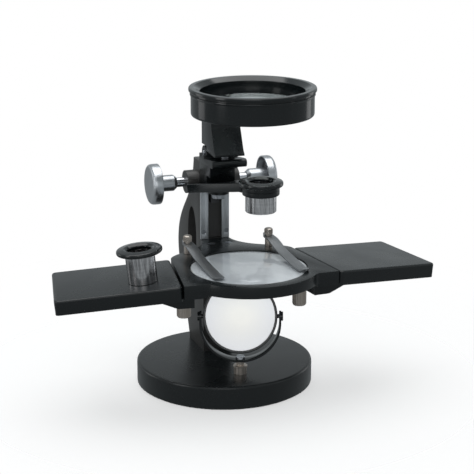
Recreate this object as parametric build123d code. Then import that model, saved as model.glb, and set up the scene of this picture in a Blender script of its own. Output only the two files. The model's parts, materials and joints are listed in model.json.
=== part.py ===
from build123d import *
import os
from math import acos, cos, pi, radians, sin, sqrt, tan

# Dissecting microscope. Millimetres, +X to the user's right, +Y away from the user, +Z up.
# The origin is the centre of the underside of the base.

# Base and upright
base_radius = 65.0
base_top = 18.0
pad_radius = 62.5
pad_thickness = 1.2
limb_half_width = 11.0
limb_top = 163.0
limb_foot_front = 16.0
limb_slide_front = 23.0
corbel_front = 4.0

# Stage
stage_low = 95.8
stage_top = 103.8
stage_y = -55.3
stage_radius = 50.0
glass_radius = 41.6
glass_top = 103.1
glass_thickness = 2.1
light_hole_radius = 38.6
lug_low = 93.8
lug_back = (46.0, -18.0)
lug_front = (56.4, -85.2)

# Rack and pinion
pinion_y = 30.6
pinion_z = 146.8
tooth_module = 0.7
tooth_count = 16
tooth_height = 0.8 * tooth_module
tooth_root = 1.05 * tooth_module
pressure_angle = 20.0
tooth_play = 0.10
rack_low = 131.5
rack_high = 169.0
rack_half_width = 3.2
pinion_half_width = 3.4
shaft_radius = 2.5
bush_radius = 3.5
running_play = 0.05
boss_radius = 8.5
boss_half_length = 20.0
pocket_half_width = 5.2
pocket_radius = 6.9
knob_radius = 15.0
knob_inner = 40.5
knob_outer = 48.0
knob_grub_x = 35.0

# Slide
strip_front = 21.2
strip_low = 104.0
strip_high = 162.6
channel_half_width = 6.8
channel_back = 26.2
slide_back = 21.05
head_low = 147.6
head_front = 4.0
head_half_width = 12.0
head_right = 9.8
table_low = 165.4
table_top = 171.2
table_front = -14.0
table_half_width = 13.0
tilt_stop_y = -2.0

# Lens arm, its swivel and the small lens
arm_pivot_y = 12.0
arm_low = 141.0
arm_top = 147.3
arm_root_top = 148.2
arm_ring_top = 161.4
arm_thickness = 6.3
arm_hub_radius = 7.5
arm_recess_radius = 15.6
arm_swing = 7.65
arm_reach = 67.6
ring_low = 155.4
ring_top = 161.5
ring_radius = 13.1
ring_bore = 11.0
barrel_radius = 10.9
barrel_low = 143.3
barrel_high = 163.0

# Large lens and its folding bracket
bull_x = 2.1
bull_y = -56.9
bull_low = 213.0
bull_body_radius = 42.5
bull_rim_radius = 44.0
bull_rim_low = 228.4
bull_top = 232.5
bull_opening = 35.6
bull_seat = 218.5
bull_edge = 2.4
bull_bulge = 4.2
fold_y = 12.5
fold_z = 172.0
fold_pin_radius = 2.0
knuckle_half_width = 6.0
bracket_half_width = 11.0

# Mirror and fork
mirror_y = -37.0
mirror_z = 61.4
mirror_yaw = -18.7
mirror_tilt = 16.0
mirror_glass_radius = 25.0
mirror_cell_radius = 26.8
mirror_cell_thickness = 7.0
fork_inner = 28.0
fork_outer = 29.5
fork_centre_z = 56.9
fork_half_width = 4.0
post_top = 27.3

# Stage clips
clip_x = 31.0
clip_y = -10.0
clip_post_radius = 2.6
clip_post_top = 117.5
clip_lean = {"left": 1.6, "right": 1.7}

# Hand rests, in plan for the right side: inner back, inner front, outer front, outer back
rest_plan = [(47.3, -18.4), (57.8, -85.0), (142.0, -61.0), (128.5, 5.5)]
rest_top = 103.4
rest_thickness = 10.4
rest_droop = 6.0
rest_sweep = 16.0
tongue_low = 82.5
tongue_top = 93.5
thumb_x = 43.7
thumb_y = -41.4
thumb_low = 67.0
thumb_head_radius = 5.0
thumb_shank_radius = 2.4

# Spare lens standing on the left hand rest
spare_x = -77.3
spare_y = -55.5
spare_seat = 20.2
spare_radius = 10.3


def rod(radius, start, end):
    """Round bar from one point to another."""
    axis = Vector(*end) - Vector(*start)
    place = Plane(origin=start, z_dir=axis)
    return place * Cylinder(radius, axis.length, align=(Align.CENTER, Align.CENTER, Align.MIN))


def tube(outer, inner, start, end):
    """Round sleeve from one point to another."""
    return rod(outer, start, end) - rod(inner, start, end)


def turned(outline, x=0.0, y=0.0):
    """Body of revolution about a vertical axis; the outline is (radius, height) points."""
    face = Plane.XZ * make_face(Polyline(*outline, close=True))
    return Pos(x, y, 0) * revolve(face, Axis.Z)


def turned_x(outline, y, z):
    """Body of revolution about an axis along X; the outline is (x, radius) points."""
    face = make_face(Polyline(*outline, close=True))
    return Pos(0, y, z) * revolve(face, Axis.X)


def side_plate(face, half_width):
    """Plate cut to an outline in the Y-Z plane and centred on X = 0."""
    return extrude(Plane.YZ * face, amount=half_width, both=True)


def flat_plate(face, low, high):
    """Plate cut to an outline in plan."""
    return Pos(0, 0, low) * extrude(face, amount=high - low)


def block(x, y, z):
    """Box between three pairs of limits."""
    size = Box(x[1] - x[0], y[1] - y[0], z[1] - z[0])
    return Pos((x[0] + x[1]) / 2, (y[0] + y[1]) / 2, (z[0] + z[1]) / 2) * size


def join(pieces):
    """Separate solids of one node, kept apart."""
    return Compound(children=list(pieces))


def save(name, shape):
    export_step(shape, f"parts/{name}.step")


# ---------------------------------------------------------------- base and limb

base_screw_places = [27.0, 43.0]
stage_screw_x = 6.5
stage_screw_y = 9.5
base_screw_radius = 3.0
base_screw_head = 5.2


def base_pad():
    return turned([(0, 0), (pad_radius, 0), (pad_radius, pad_thickness), (0, pad_thickness)])


def base_disc():
    disc = flat_plate(Circle(base_radius), pad_thickness, base_top)
    disc = fillet(disc.edges().group_by(Axis.Z)[-1], 2.2)
    disc = chamfer(disc.edges().group_by(Axis.Z)[0], 0.8)
    for y in base_screw_places:
        disc -= rod(base_screw_radius, (0, y, 0), (0, y, base_top + 1))
        disc -= rod(base_screw_head + 0.2, (0, y, 0), (0, y, 6.2))
    disc -= rod(2.0, (0, mirror_y, 10.0), (0, mirror_y, base_top + 1))
    return disc


def base_screws():
    screws = []
    for y in base_screw_places:
        head = rod(base_screw_head, (0, y, 1.6), (0, y, 6.2))
        screws.append(head + rod(base_screw_radius - 0.02, (0, y, 6.2), (0, y, 32.0)))
    return join(screws)


def limb():
    back = Spline(
        (53, base_top), (58.5, 31), (68.5, 53), (78, 72), (81.5, 88),
        (77.5, 105), (66, 120), (52.5, 134), (44, 148), (40, limb_top),
    )
    head = Polyline((40, limb_top), (limb_slide_front, limb_top), (limb_slide_front, stage_low),
                    (corbel_front, stage_low), (corbel_front, 91.5))
    sweep = ThreePointArc((corbel_front, 91.5), (11.5, 84), (limb_foot_front, 72))
    foot = Polyline((limb_foot_front, 72), (limb_foot_front, base_top), (53, base_top))
    body = side_plate(make_face([back, head, sweep, foot]), limb_half_width)
    rear = [e for e in body.edges().filter_by(GeomType.BSPLINE)]
    body = fillet(rear, 2.0)
    body += rod(boss_radius, (-boss_half_length, pinion_y, pinion_z), (boss_half_length, pinion_y, pinion_z))
    window = Pos(43.5, 101) * Ellipse(10.5, 23)
    body -= side_plate(window, limb_half_width + 1)
    seat = limb_half_width + 0.02
    body -= block((-seat, seat), (limb_slide_front - 3, limb_slide_front), (stage_top, limb_top + 1))
    half = channel_half_width
    body -= block((-half, half), (limb_slide_front - 1, channel_back), (stage_top + 0.2, limb_top + 1))
    pocket = pocket_half_width
    body -= rod(pocket_radius, (-pocket, pinion_y, pinion_z), (pocket, pinion_y, pinion_z))
    reach = boss_half_length + 1
    body -= rod(shaft_radius + 0.4, (-reach, pinion_y, pinion_z), (reach, pinion_y, pinion_z))
    for side in (-1, 1):
        body -= rod(bush_radius, (side * 8, pinion_y, pinion_z), (side * reach, pinion_y, pinion_z))
        x, y = side * stage_screw_x, stage_screw_y
        body -= rod(1.6, (x, y, 84), (x, y, stage_low + 1))
        for z in guide_screw_heights:
            body -= rod(1.0, (side * guide_screw_x, 22, z), (side * guide_screw_x, 29, z))
    for y in base_screw_places:
        body -= rod(base_screw_radius, (0, y, 0), (0, y, 32.5))
    return body


guide_screw_x = 8.9
guide_screw_heights = [109.5, 158.5]


def guide_strips():
    strips = []
    for side in (-1, 1):
        plan = [(5.2, strip_front), (limb_half_width, strip_front),
                (limb_half_width, limb_slide_front), (6.55, limb_slide_front)]
        face = make_face(Polyline(*[(side * x, y) for x, y in plan], close=True))
        strip = flat_plate(face, strip_low, strip_high)
        for z in guide_screw_heights:
            strip -= rod(1.0, (side * guide_screw_x, 20, z), (side * guide_screw_x, 24, z))
            strip -= rod(1.8, (side * guide_screw_x, 20, z), (side * guide_screw_x, strip_front + 0.9, z))
        strips.append(strip)
    return join(strips)


def guide_screws():
    screws = []
    for side in (-1, 1):
        for z in guide_screw_heights:
            x, face = side * guide_screw_x, strip_front + 0.1
            head = rod(1.75, (x, face, z), (x, strip_front + 0.88, z))
            head -= block((x - 2, x + 2), (face - 1, face + 0.4), (z - 0.2, z + 0.2))
            screws.append(head + rod(0.97, (x, strip_front + 0.88, z), (x, 28.5, z)))
    return join(screws)


def bush(side):
    start = (side * 8, pinion_y, pinion_z)
    return tube(bush_radius, shaft_radius + running_play, start, (side * 27, pinion_y, pinion_z))


# ---------------------------------------------------------------- stage

def stage_outline():
    disc = Pos(0, stage_y) * Circle(stage_radius)
    right = [(lug_back[0], lug_back[1]), (38.5, -9.8), (29, -4.5), (20.5, 1.5), (13.5, 11), (11, 22.95)]
    left = [(-x, y) for x, y in reversed(right)]
    wings = make_face([
        Spline(*right), Line((11, 22.95), (-11, 22.95)), Spline(*left),
        Polyline((-lug_back[0], lug_back[1]), (-lug_front[0], lug_front[1]), lug_front, lug_back),
    ])
    outline = disc + wings
    inner = [v for v in outline.vertices() if abs(v.Y - lug_front[1]) < 3 and abs(v.X) < 50]
    return fillet(inner, 7.0)


def stage_plate():
    outline = stage_outline()
    plate = flat_plate(outline, stage_low, stage_top)
    clear = Pos(0, stage_y) * Circle(glass_radius + 1.2)
    for side in (-1, 1):
        lug = make_face(Polyline((side * 40, -20), (side * lug_back[0], lug_back[1]),
                                 (side * lug_front[0], lug_front[1]), (side * 40, lug_front[1]), close=True))
        plate += flat_plate((lug & outline) - clear, lug_low, stage_low)
    plate -= rod(glass_radius + 0.15, (0, stage_y, glass_top - glass_thickness), (0, stage_y, stage_top + 1))
    plate -= rod(light_hole_radius, (0, stage_y, lug_low - 1), (0, stage_y, stage_top))
    for side in (-1, 1):
        x = side * thumb_x
        plate -= rod(thumb_shank_radius + 0.1, (x, thumb_y, 90), (x, thumb_y, 101.5))
        plate -= rod(1.5 + running_play, (side * clip_x, clip_y, 90), (side * clip_x, clip_y, stage_top + 1))
        x, y = side * stage_screw_x, stage_screw_y
        plate -= rod(1.6, (x, y, stage_low - 1), (x, y, stage_top + 1))
        plate -= rod(3.1, (x, y, stage_top - 2.0), (x, y, stage_top + 1))
    return plate


def stage_glass():
    return rod(glass_radius, (0, stage_y, glass_top - glass_thickness), (0, stage_y, glass_top))


def stage_screws():
    screws = []
    for side in (-1, 1):
        x, y = side * stage_screw_x, stage_screw_y
        head = rod(3.0, (x, y, stage_top - 2.0), (x, y, stage_top - 0.2))
        head -= block((x - 4, x + 4), (y - 0.4, y + 0.4), (stage_top - 1.0, stage_top))
        screws.append(head + rod(1.57, (x, y, 85), (x, y, stage_top - 2.0)))
    return join(screws)


# ---------------------------------------------------------------- mirror

def mirror_frame(shape):
    """Turns a piece built about the mirror's centre, facing -Y, into its place."""
    return Pos(0, mirror_y, mirror_z) * Rot(0, 0, mirror_yaw) * Rot(-mirror_tilt, 0, 0) * shape


def fork_frame(shape):
    """Turns a piece built about the fork's vertical axis into its place."""
    return Pos(0, mirror_y, 0) * Rot(0, 0, mirror_yaw) * shape


def mirror_post():
    outline = [
        (1.55, base_top), (4.75, base_top), (4.75, base_top + 4.8), (5.2, base_top + 5.1),
        (5.2, base_top + 5.9), (4.8, base_top + 6.3), (2.8, base_top + 6.3), (2.8, post_top),
        (1.55, post_top),
    ]
    post = turned(outline, 0, mirror_y)
    return post + tube(2.0, 1.55, (0, mirror_y, 10.2), (0, mirror_y, base_top))


def fork_strap():
    bend = Pos(0, fork_centre_z) * (Circle(fork_outer) - Circle(fork_inner))
    bend -= Pos(0, fork_centre_z + 40) * Rectangle(80, 80)
    strap = extrude(Plane.XZ * bend, amount=fork_half_width, both=True)
    for side in (-1, 1):
        inside, outside = sorted((side * fork_inner, side * fork_outer))
        strap += block((inside, outside), (-fork_half_width, fork_half_width), (fork_centre_z, mirror_z))
        strap += rod(fork_half_width, (inside, 0, mirror_z), (outside, 0, mirror_z))
        strap -= rod(1.55, (side * 20, 0, mirror_z), (side * 35, 0, mirror_z))
    strap -= rod(1.55, (0, 0, 20), (0, 0, 35))
    return fork_frame(strap)


def fork_screw():
    seat = fork_centre_z - fork_inner + 0.25
    head = fillet(rod(3.4, (0, 0, seat), (0, 0, seat + 1.9)).edges().group_by(Axis.Z)[-1], 0.5)
    head -= Pos(0, 0, seat + 1.9) * Box(8, 0.8, 1.6)
    return fork_frame(head + rod(1.5, (0, 0, base_top - 6), (0, 0, seat)))


def mirror_pivots():
    screws = []
    for side in (-1, 1):
        tip = rod(1.5, (side * (mirror_cell_radius - 1.4), 0, mirror_z), (side * fork_outer, 0, mirror_z))
        head = rod(3.3, (side * fork_outer, 0, mirror_z), (side * (fork_outer + 1.3), 0, mirror_z))
        head -= Pos(side * (fork_outer + 1.3), 0, mirror_z) * Box(1.2, 0.8, 8)
        screws.append(fork_frame(tip + head))
    return join(screws)


def mirror_cell():
    half = mirror_cell_thickness / 2
    outline = [
        (mirror_glass_radius - 3.0, -0.9), (mirror_glass_radius - 3.0, 0.9),
        (mirror_glass_radius, 0.9), (mirror_glass_radius, half - 0.7),
        (mirror_glass_radius - 0.7, half), (mirror_cell_radius - 0.6, half), (mirror_cell_radius, half - 0.6),
        (mirror_cell_radius, -half + 0.6), (mirror_cell_radius - 0.6, -half),
        (mirror_glass_radius - 0.7, -half), (mirror_glass_radius, -half + 0.7), (mirror_glass_radius, -0.9),
    ]
    cell = turned(outline)
    for side in (-1, 1):
        cell -= rod(1.55, (side * (mirror_cell_radius - 1.6), 0, 0), (side * 30, 0, 0))
    return mirror_frame(Rot(90, 0, 0) * cell)


def mirror_glass_concave():
    sag_radius = 180.0
    edge = mirror_glass_radius - 0.05
    dish = turned([(0, 1.0), (edge, 1.0), (edge, 2.75), (0, 2.75)])
    lift = 2.8 + sqrt(sag_radius ** 2 - 24.3 ** 2)
    dish -= Pos(0, 0, lift) * Sphere(sag_radius)
    return mirror_frame(Rot(90, 0, 0) * dish)


def mirror_glass_plane():
    disc = rod(mirror_glass_radius - 0.05, (0, 0, -2.7), (0, 0, -1.0))
    return mirror_frame(Rot(90, 0, 0) * disc)


# ---------------------------------------------------------------- sliding head

def slide_block():
    half = head_half_width
    head = block((-half, head_right), (head_front, slide_back), (head_low, table_low))
    table = block((-table_half_width, table_half_width), (table_front, 18.0), (table_low, table_top))
    front = [e for e in table.edges().filter_by(Axis.X) if e.center().Y < 0]
    head += fillet(front, 2.6)
    top_cut = make_face(Polyline((7.0, table_top + 1), (7.0, 168.7), (-9.5, table_top), (-9.5, table_top + 1),
                                 close=True))
    head -= side_plate(top_cut, table_half_width + 1)
    knee = make_face(Polyline((-half, table_low), (head_right, table_low), (head_right, 163.8),
                              (-half, 157.0), close=True))
    head += Pos(0, head_front, 0) * extrude(Plane.XZ * knee, amount=9.0)
    ear = make_face(Polyline((7.0, table_low), (18.0, table_low), (18.0, fold_z), (7.0, fold_z), close=True))
    ears = side_plate(ear, bracket_half_width)
    ears += rod(5.5, (-bracket_half_width, fold_y, fold_z), (bracket_half_width, fold_y, fold_z))
    gap = knuckle_half_width + 0.3
    ears -= rod(5.9, (-gap, fold_y, fold_z), (gap, fold_y, fold_z))
    ears -= block((-gap, gap), (5, 20), (fold_z, 180))
    head += ears
    head -= rod(5.9, (-gap, fold_y, fold_z), (gap, fold_y, fold_z))
    head -= block((-gap, gap), (5, 20), (fold_z, 180))
    tongue = [(-4.75, slide_back), (4.75, slide_back), (6.1, 22.85), (-6.1, 22.85)]
    head += flat_plate(make_face(Polyline(*tongue, close=True)), head_low, table_low)
    slot = rack_half_width
    head -= block((-slot, slot), (slide_back, 30), (head_low - 1, table_low + 1))
    head -= rod(fold_pin_radius, (-20, fold_y, fold_z), (20, fold_y, fold_z))
    head -= rod(1.5, (0, tilt_stop_y, table_low - 4), (0, tilt_stop_y, table_top + 2))
    head -= rod(2.0, (0, arm_pivot_y, head_low - 1), (0, arm_pivot_y, 152.2))
    for z in rack_screw_heights:
        head -= rod(1.0, (0, 14.4, z), (0, 22, z))
    return head


rack_screw_heights = [153.0, 162.0]


def rack():
    pitch = pi * tooth_module
    line = pinion_y - tooth_module * tooth_count / 2
    slope = tan(radians(pressure_angle))
    tip_y = line + tooth_height
    root_y = line - tooth_root
    half_tip = pitch / 4 - tooth_play / 2 - tooth_height * slope
    half_root = pitch / 4 - tooth_play / 2 + tooth_root * slope
    outline = [(slide_back, rack_low), (root_y, rack_low)]
    first = int((rack_low + 1.0 - pinion_z) / pitch) - 1
    last = int((rack_high - 1.0 - pinion_z) / pitch) + 1
    for step in range(first, last + 1):
        z = pinion_z + (step + 0.5) * pitch
        if z - half_root < rack_low + 0.2 or z + half_root > rack_high - 0.2:
            continue
        outline += [(root_y, z - half_root), (tip_y, z - half_tip)]
        outline += [(tip_y, z + half_tip), (root_y, z + half_root)]
    outline += [(root_y, rack_high), (slide_back, rack_high)]
    bar = side_plate(make_face(Polyline(*outline, close=True)), rack_half_width - 0.02)
    for z in rack_screw_heights:
        bar -= rod(1.0, (0, 20, z), (0, 23.2, z))
    return bar


def rack_screws():
    return join([rod(0.97, (0, 14.6, z), (0, 23.1, z)) for z in rack_screw_heights])


def bracket_pin():
    end = bracket_half_width + 0.8
    pin = rod(fold_pin_radius - 0.02, (-end, fold_y, fold_z), (end, fold_y, fold_z))
    return fillet(pin.edges().filter_by(GeomType.CIRCLE), 0.5)


def tilt_stop_screw():
    head = rod(2.6, (0, tilt_stop_y, 170.6), (0, tilt_stop_y, 174.0))
    head = fillet(head.edges().group_by(Axis.Z)[-1], 0.4)
    return head + rod(1.48, (0, tilt_stop_y, 162.5), (0, tilt_stop_y, 170.6))


def arm_pivot_screw():
    low = arm_low - 1.2
    head = rod(5.2, (0, arm_pivot_y, low - 2.4), (0, arm_pivot_y, low))
    head = fillet(head.edges().group_by(Axis.Z)[0], 0.6)
    head -= Pos(0, arm_pivot_y, low - 2.4) * Box(12, 1.0, 1.8)
    head += rod(2.5, (0, arm_pivot_y, low), (0, arm_pivot_y, head_low))
    return head + rod(1.98, (0, arm_pivot_y, head_low), (0, arm_pivot_y, 152.0))


def arm_pivot_washer():
    return tube(5.8, 2.5, (0, arm_pivot_y, arm_low - 1.2), (0, arm_pivot_y, arm_low - 0.1))


# ---------------------------------------------------------------- pinion and knobs

def involute(base, radius):
    """Angle, in radians, by which an involute has turned when it reaches a radius."""
    angle = acos(min(1.0, base / radius))
    return tan(angle) - angle


def pinion_gear():
    pitch_radius = tooth_module * tooth_count / 2
    base = pitch_radius * cos(radians(pressure_angle))
    tip = pitch_radius + tooth_height
    root = pitch_radius - tooth_root
    half = (pi * tooth_module / 2 - tooth_play) / (2 * pitch_radius)
    start = half + involute(base, pitch_radius)
    radii = [base + (tip - base) * step / 5 for step in range(6)]
    outline = []
    for tooth in range(tooth_count):
        middle = -pi / 2 + 2 * pi * tooth / tooth_count
        rising = [(root, -start)] + [(r, -start + involute(base, r)) for r in radii]
        for r, a in rising + [(r, -a) for r, a in reversed(rising)]:
            outline.append((r * sin(middle + a) * -1, r * cos(middle + a)))
    gear = extrude(Plane.YZ * make_face(Polyline(*outline, close=True)), amount=pinion_half_width, both=True)
    gear = Pos(0, pinion_y, pinion_z) * Rot(-90, 0, 0) * gear
    return gear - rod(shaft_radius, (-5, pinion_y, pinion_z), (5, pinion_y, pinion_z))


def pinion_shaft():
    end = knob_outer - 1.0
    return rod(shaft_radius, (-end, pinion_y, pinion_z), (end, pinion_y, pinion_z))


def knob(side):
    web = knob_outer - 2.7
    outline = [
        (27.3, shaft_radius), (27.3, 4.2), (29.6, 6.0), (web, 6.0), (web, 13.2), (knob_inner, 13.9),
        (knob_inner, knob_radius - 0.5), (knob_inner + 0.5, knob_radius), (knob_outer - 2.4, knob_radius),
        (knob_outer - 0.6, knob_radius - 1.0), (knob_outer, knob_radius - 3.0), (knob_outer, 0),
        (knob_outer - 1.0, 0), (knob_outer - 1.0, shaft_radius),
    ]
    disc = turned_x([(side * x, r) for x, r in outline], pinion_y, pinion_z)
    x = side * knob_grub_x
    return disc - rod(1.3, (x, pinion_y, pinion_z), (x, pinion_y, pinion_z + 8))


def knob_grub_screws():
    low = pinion_z + shaft_radius
    places = (-knob_grub_x, knob_grub_x)
    return join([rod(1.28, (x, pinion_y, low), (x, pinion_y, pinion_z + 5.8)) for x in places])


# ---------------------------------------------------------------- lens arm and small lens

def arm_frame(shape):
    """Turns a piece built about the arm's pivot, reaching towards -Y, into its place."""
    return Pos(0, arm_pivot_y, 0) * Rot(0, 0, arm_swing) * shape


def arm_plate():
    plan = make_face([
        Polyline((-24.0, 2.0), (-9.5, -56.0), (9.0, -56.0), (11.0, -2.0)),
        ThreePointArc((11.0, -2.0), (7.7, 4.4), (0.0, 8.4)), Polyline((0.0, 8.4), (-19.5, 7.4)),
        ThreePointArc((-19.5, 7.4), (-22.8, 5.8), (-24.0, 2.0)),
    ])
    near = -arm_reach + ring_radius + 1.0
    side = make_face(Polyline(
        (9.0, arm_root_top - arm_thickness), (9.0, arm_root_top), (near, arm_ring_top), (-70, arm_ring_top),
        (-70, arm_ring_top - arm_thickness), (near, arm_ring_top - arm_thickness), close=True))
    arm = (Pos(0, 0, arm_low - 5) * extrude(plan, amount=40)) & side_plate(side, 40)
    arm += rod(arm_hub_radius, (0, 0, arm_low), (0, 0, arm_top))
    arm -= rod(arm_recess_radius, (0, 0, arm_top), (0, 0, arm_top + 30))
    arm -= rod(ring_radius, (0, -arm_reach, 140), (0, -arm_reach, 170))
    arm -= rod(2.55, (0, 0, 130), (0, 0, 150))
    return arm_frame(arm)


def arm_ring():
    ring = tube(ring_radius, ring_bore, (0, -arm_reach, ring_low), (0, -arm_reach, ring_top))
    outer = ring.edges().filter_by(GeomType.CIRCLE).group_by(Axis.Z)[0].sort_by(SortBy.RADIUS)[-1]
    ring = chamfer(outer, 1.5)
    return arm_frame(ring)


lens_x = arm_reach * sin(radians(arm_swing))
lens_y = arm_pivot_y - arm_reach * cos(radians(arm_swing))


def lens_barrel():
    outline = [
        (8.6, barrel_low + 1.6), (9.0, barrel_low), (10.4, barrel_low), (barrel_radius, barrel_low + 0.5),
        (barrel_radius, barrel_high), (9.6, barrel_high), (9.6, barrel_low + 3.4), (8.6, barrel_low + 3.4),
    ]
    return turned(outline, lens_x, lens_y)


def lens_retainer():
    z = barrel_low + 8.6
    return turned([(8.0, z), (9.6, z), (9.6, z + 1.6), (8.4, z + 1.6)], lens_x, lens_y)


def lens_glass():
    low = barrel_low + 3.4
    glass = rod(9.55, (0, 0, low), (0, 0, low + 5.2))
    glass &= Pos(0, 0, low + 5.2 - 34) * Sphere(34)
    glass &= Pos(0, 0, low + 34) * Sphere(34)
    return Pos(lens_x, lens_y, 0) * glass


def eyecup(low, bore, flange, rim, hole):
    """Ring-shaped eyecup: its top slopes gently up from a rounded rim to the hole for the eye."""
    face = Plane.XZ * make_face([
        Polyline((hole, low + 3.2), (hole, low + 1.5), (bore, low + 1.5), (bore, low), (flange, low),
                 (rim, low + 1.2)),
        ThreePointArc((rim, low + 1.2), (rim - 0.2, low + 2.6), (rim - 1.6, low + 3.3)),
        Polyline((rim - 1.6, low + 3.3), (hole + 1.2, low + 4.2)),
        ThreePointArc((hole + 1.2, low + 4.2), (hole + 0.3, low + 4.0), (hole, low + 3.2)),
    ])
    return revolve(face, Axis.Z)


def lens_eyecup():
    low = ring_top + 0.05
    cup = eyecup(low, barrel_radius - 1.3, 14.6, 15.6, 8.4)
    cup -= tube(barrel_radius + 0.01, barrel_radius - 1.35, (0, 0, low - 1), (0, 0, barrel_high))
    return Pos(lens_x, lens_y, 0) * cup


# ---------------------------------------------------------------- large lens

def bull_bracket():
    side = make_face([
        Polyline((18.0, 178.2), (18.0, 212.0)),
        ThreePointArc((18.0, 212.0), (12.5, 223.0), (1.0, 228.0)),
        Polyline((1.0, 228.0), (-40.0, 228.0), (-40.0, 213.0), (-9.5, 213.0)),
        ThreePointArc((-9.5, 213.0), (-5.2, 203.0), (-4.8, 193.0)),
        Polyline((-4.8, 193.0), (-11.6, 178.0), (-14.0, 175.4), (-14.0, 174.0), (-10.5, 173.8),
                 (6.8, 174.6), (6.8, 178.2), (18.0, 178.2)),
    ])
    bracket = side_plate(side, bracket_half_width)
    knuckle = knuckle_half_width
    bracket += rod(5.2, (-knuckle, fold_y, fold_z), (knuckle, fold_y, fold_z))
    bracket += block((-knuckle, knuckle), (fold_y - 4.6, fold_y + 4.6), (fold_z, 179.0))
    bracket -= rod(fold_pin_radius + running_play, (-20, fold_y, fold_z), (20, fold_y, fold_z))
    bracket -= rod(bull_body_radius, (bull_x, bull_y, 200), (bull_x, bull_y, 240))
    for x in bull_screw_places:
        bracket -= rod(1.6, (x, -30, bull_screw_z), (x, 30, bull_screw_z))
        bracket -= rod(3.1, (x, 5.0, bull_screw_z), (x, 30, bull_screw_z))
    return bracket


bull_screw_places = [-5.0, 5.0]
bull_screw_z = 220.5


def bull_cell():
    outline = [
        (36.0, bull_low + 0.8), (36.8, bull_low), (bull_body_radius - 1.4, bull_low),
        (bull_body_radius, bull_low + 1.4), (bull_body_radius, bull_rim_low), (37.65, bull_rim_low),
        (37.65, bull_seat - 0.45), (36.0, bull_seat - 0.45),
    ]
    cell = turned(outline, bull_x, bull_y)
    for x in bull_screw_places:
        cell -= rod(1.6, (x, bull_y + 38, bull_screw_z), (x, bull_y + 45, bull_screw_z))
    return cell


def bull_rim():
    outline = [
        (37.6, bull_seat + bull_edge + 0.55), (37.6, bull_rim_low), (bull_rim_radius - 0.6, bull_rim_low),
        (bull_rim_radius, bull_rim_low + 0.6), (bull_rim_radius, bull_top - 1.4),
        (bull_rim_radius - 1.4, bull_top), (bull_rim_radius - 3.4, bull_top),
        (bull_opening + 0.6, bull_top - 2.6), (bull_opening, bull_top - 3.4),
        (bull_opening, bull_seat + bull_edge + 0.55),
    ]
    return turned(outline, bull_x, bull_y)


def bull_glass():
    """Double convex lens that rests on the cell's lip by its narrow edge."""
    radius = 37.5
    curve = (radius ** 2 + bull_bulge ** 2) / (2 * bull_bulge)
    low = bull_seat - bull_bulge
    high = bull_seat + bull_edge + bull_bulge
    glass = rod(radius, (0, 0, low), (0, 0, high))
    glass &= Pos(0, 0, high - curve) * Sphere(curve)
    glass &= Pos(0, 0, low + curve) * Sphere(curve)
    return Pos(bull_x, bull_y, 0) * glass


def bull_screws():
    screws = []
    for x in bull_screw_places:
        head = rod(3.0, (x, 5.05, bull_screw_z), (x, 7.4, bull_screw_z))
        head -= Pos(x, 7.4, bull_screw_z) * Box(8, 1.6, 0.8)
        seat = bull_y + sqrt(bull_body_radius ** 2 - (x - bull_x) ** 2) - 3.2
        screws.append(head + rod(1.57, (x, seat, bull_screw_z), (x, 5.05, bull_screw_z)))
    return join(screws)


# ---------------------------------------------------------------- stage clips

def clip_frame(side, shape):
    """Turns a clip built about its post, reaching towards -Y, into its place."""
    name = "left" if side < 0 else "right"
    return Pos(side * clip_x, clip_y, 0) * Rot(0, 0, clip_lean[name]) * shape


def clip_post(side):
    top = clip_post_top
    grip = turned([(0, 112.9), (2.9, 112.9), (2.9, top - 0.6), (2.3, top), (0, top)])
    stem = turned([(0, stage_top + 0.1), (clip_post_radius, stage_top + 0.1), (clip_post_radius, 110.4),
                   (1.75, 110.4), (1.75, 112.9), (0, 112.9)])
    foot = rod(1.5, (0, 0, 94.6), (0, 0, stage_top + 0.1))
    return clip_frame(side, grip + stem + foot)


def clip_blade(side):
    thickness = 0.9
    centre = [(4.6, 112.6), (2.0, 111.7), (-6.0, 111.3), (-20.0, 108.6), (-46.0, 105.6), (-60.0, 104.55),
              (-64.0, 104.5), (-70.5, 105.6)]
    line = Spline(*centre)
    upper = [line @ (t / 24) for t in range(25)]
    side_points = [(p.X, p.Y + thickness / 2) for p in upper]
    side_points += [(p.X, p.Y - thickness / 2) for p in reversed(upper)]
    strip = side_plate(make_face(Polyline(*side_points, close=True)), 5)
    plan = make_face([
        ThreePointArc((-2.6, 4.4), (0, 5.6), (2.6, 4.4)), Polyline((2.6, 4.4), (4.0, 0), (4.0, -66.5)),
        ThreePointArc((4.0, -66.5), (0, -70.4), (-4.0, -66.5)),
        Polyline((-4.0, -66.5), (-4.0, 0), (-2.6, 4.4)),
    ])
    blade = strip & flat_plate(plan, 100, 120)
    blade -= rod(1.8, (0, 0, 100), (0, 0, 120))
    return clip_frame(side, blade)


# ---------------------------------------------------------------- hand rests

def rest_side(side, shape):
    """Keeps a right-hand piece, or mirrors it for the left."""
    return shape if side > 0 else mirror(shape, about=Plane.YZ)


def rest_board(side):
    outline = make_face(Polyline(*rest_plan, close=True))
    board = flat_plate(outline, rest_top - rest_thickness, rest_top)
    board = fillet(board.edges().filter_by(Axis.Z), 3.0)
    board = fillet(board.edges().group_by(Axis.Z)[-1], 1.4)
    inner_edge = Vector(*rest_plan[1], 0) - Vector(*rest_plan[0], 0)
    hinge = Axis((rest_plan[0][0], rest_plan[0][1], rest_top), inner_edge)
    board = board.rotate(hinge, -rest_droop)
    for x, y in rest_screw_places:
        board -= rod(1.6, (x, y, 85), (x, y, 98))
    return rest_side(side, board)


rest_screw_places = [(62.0, -36.0), (65.5, -58.0)]


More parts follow.
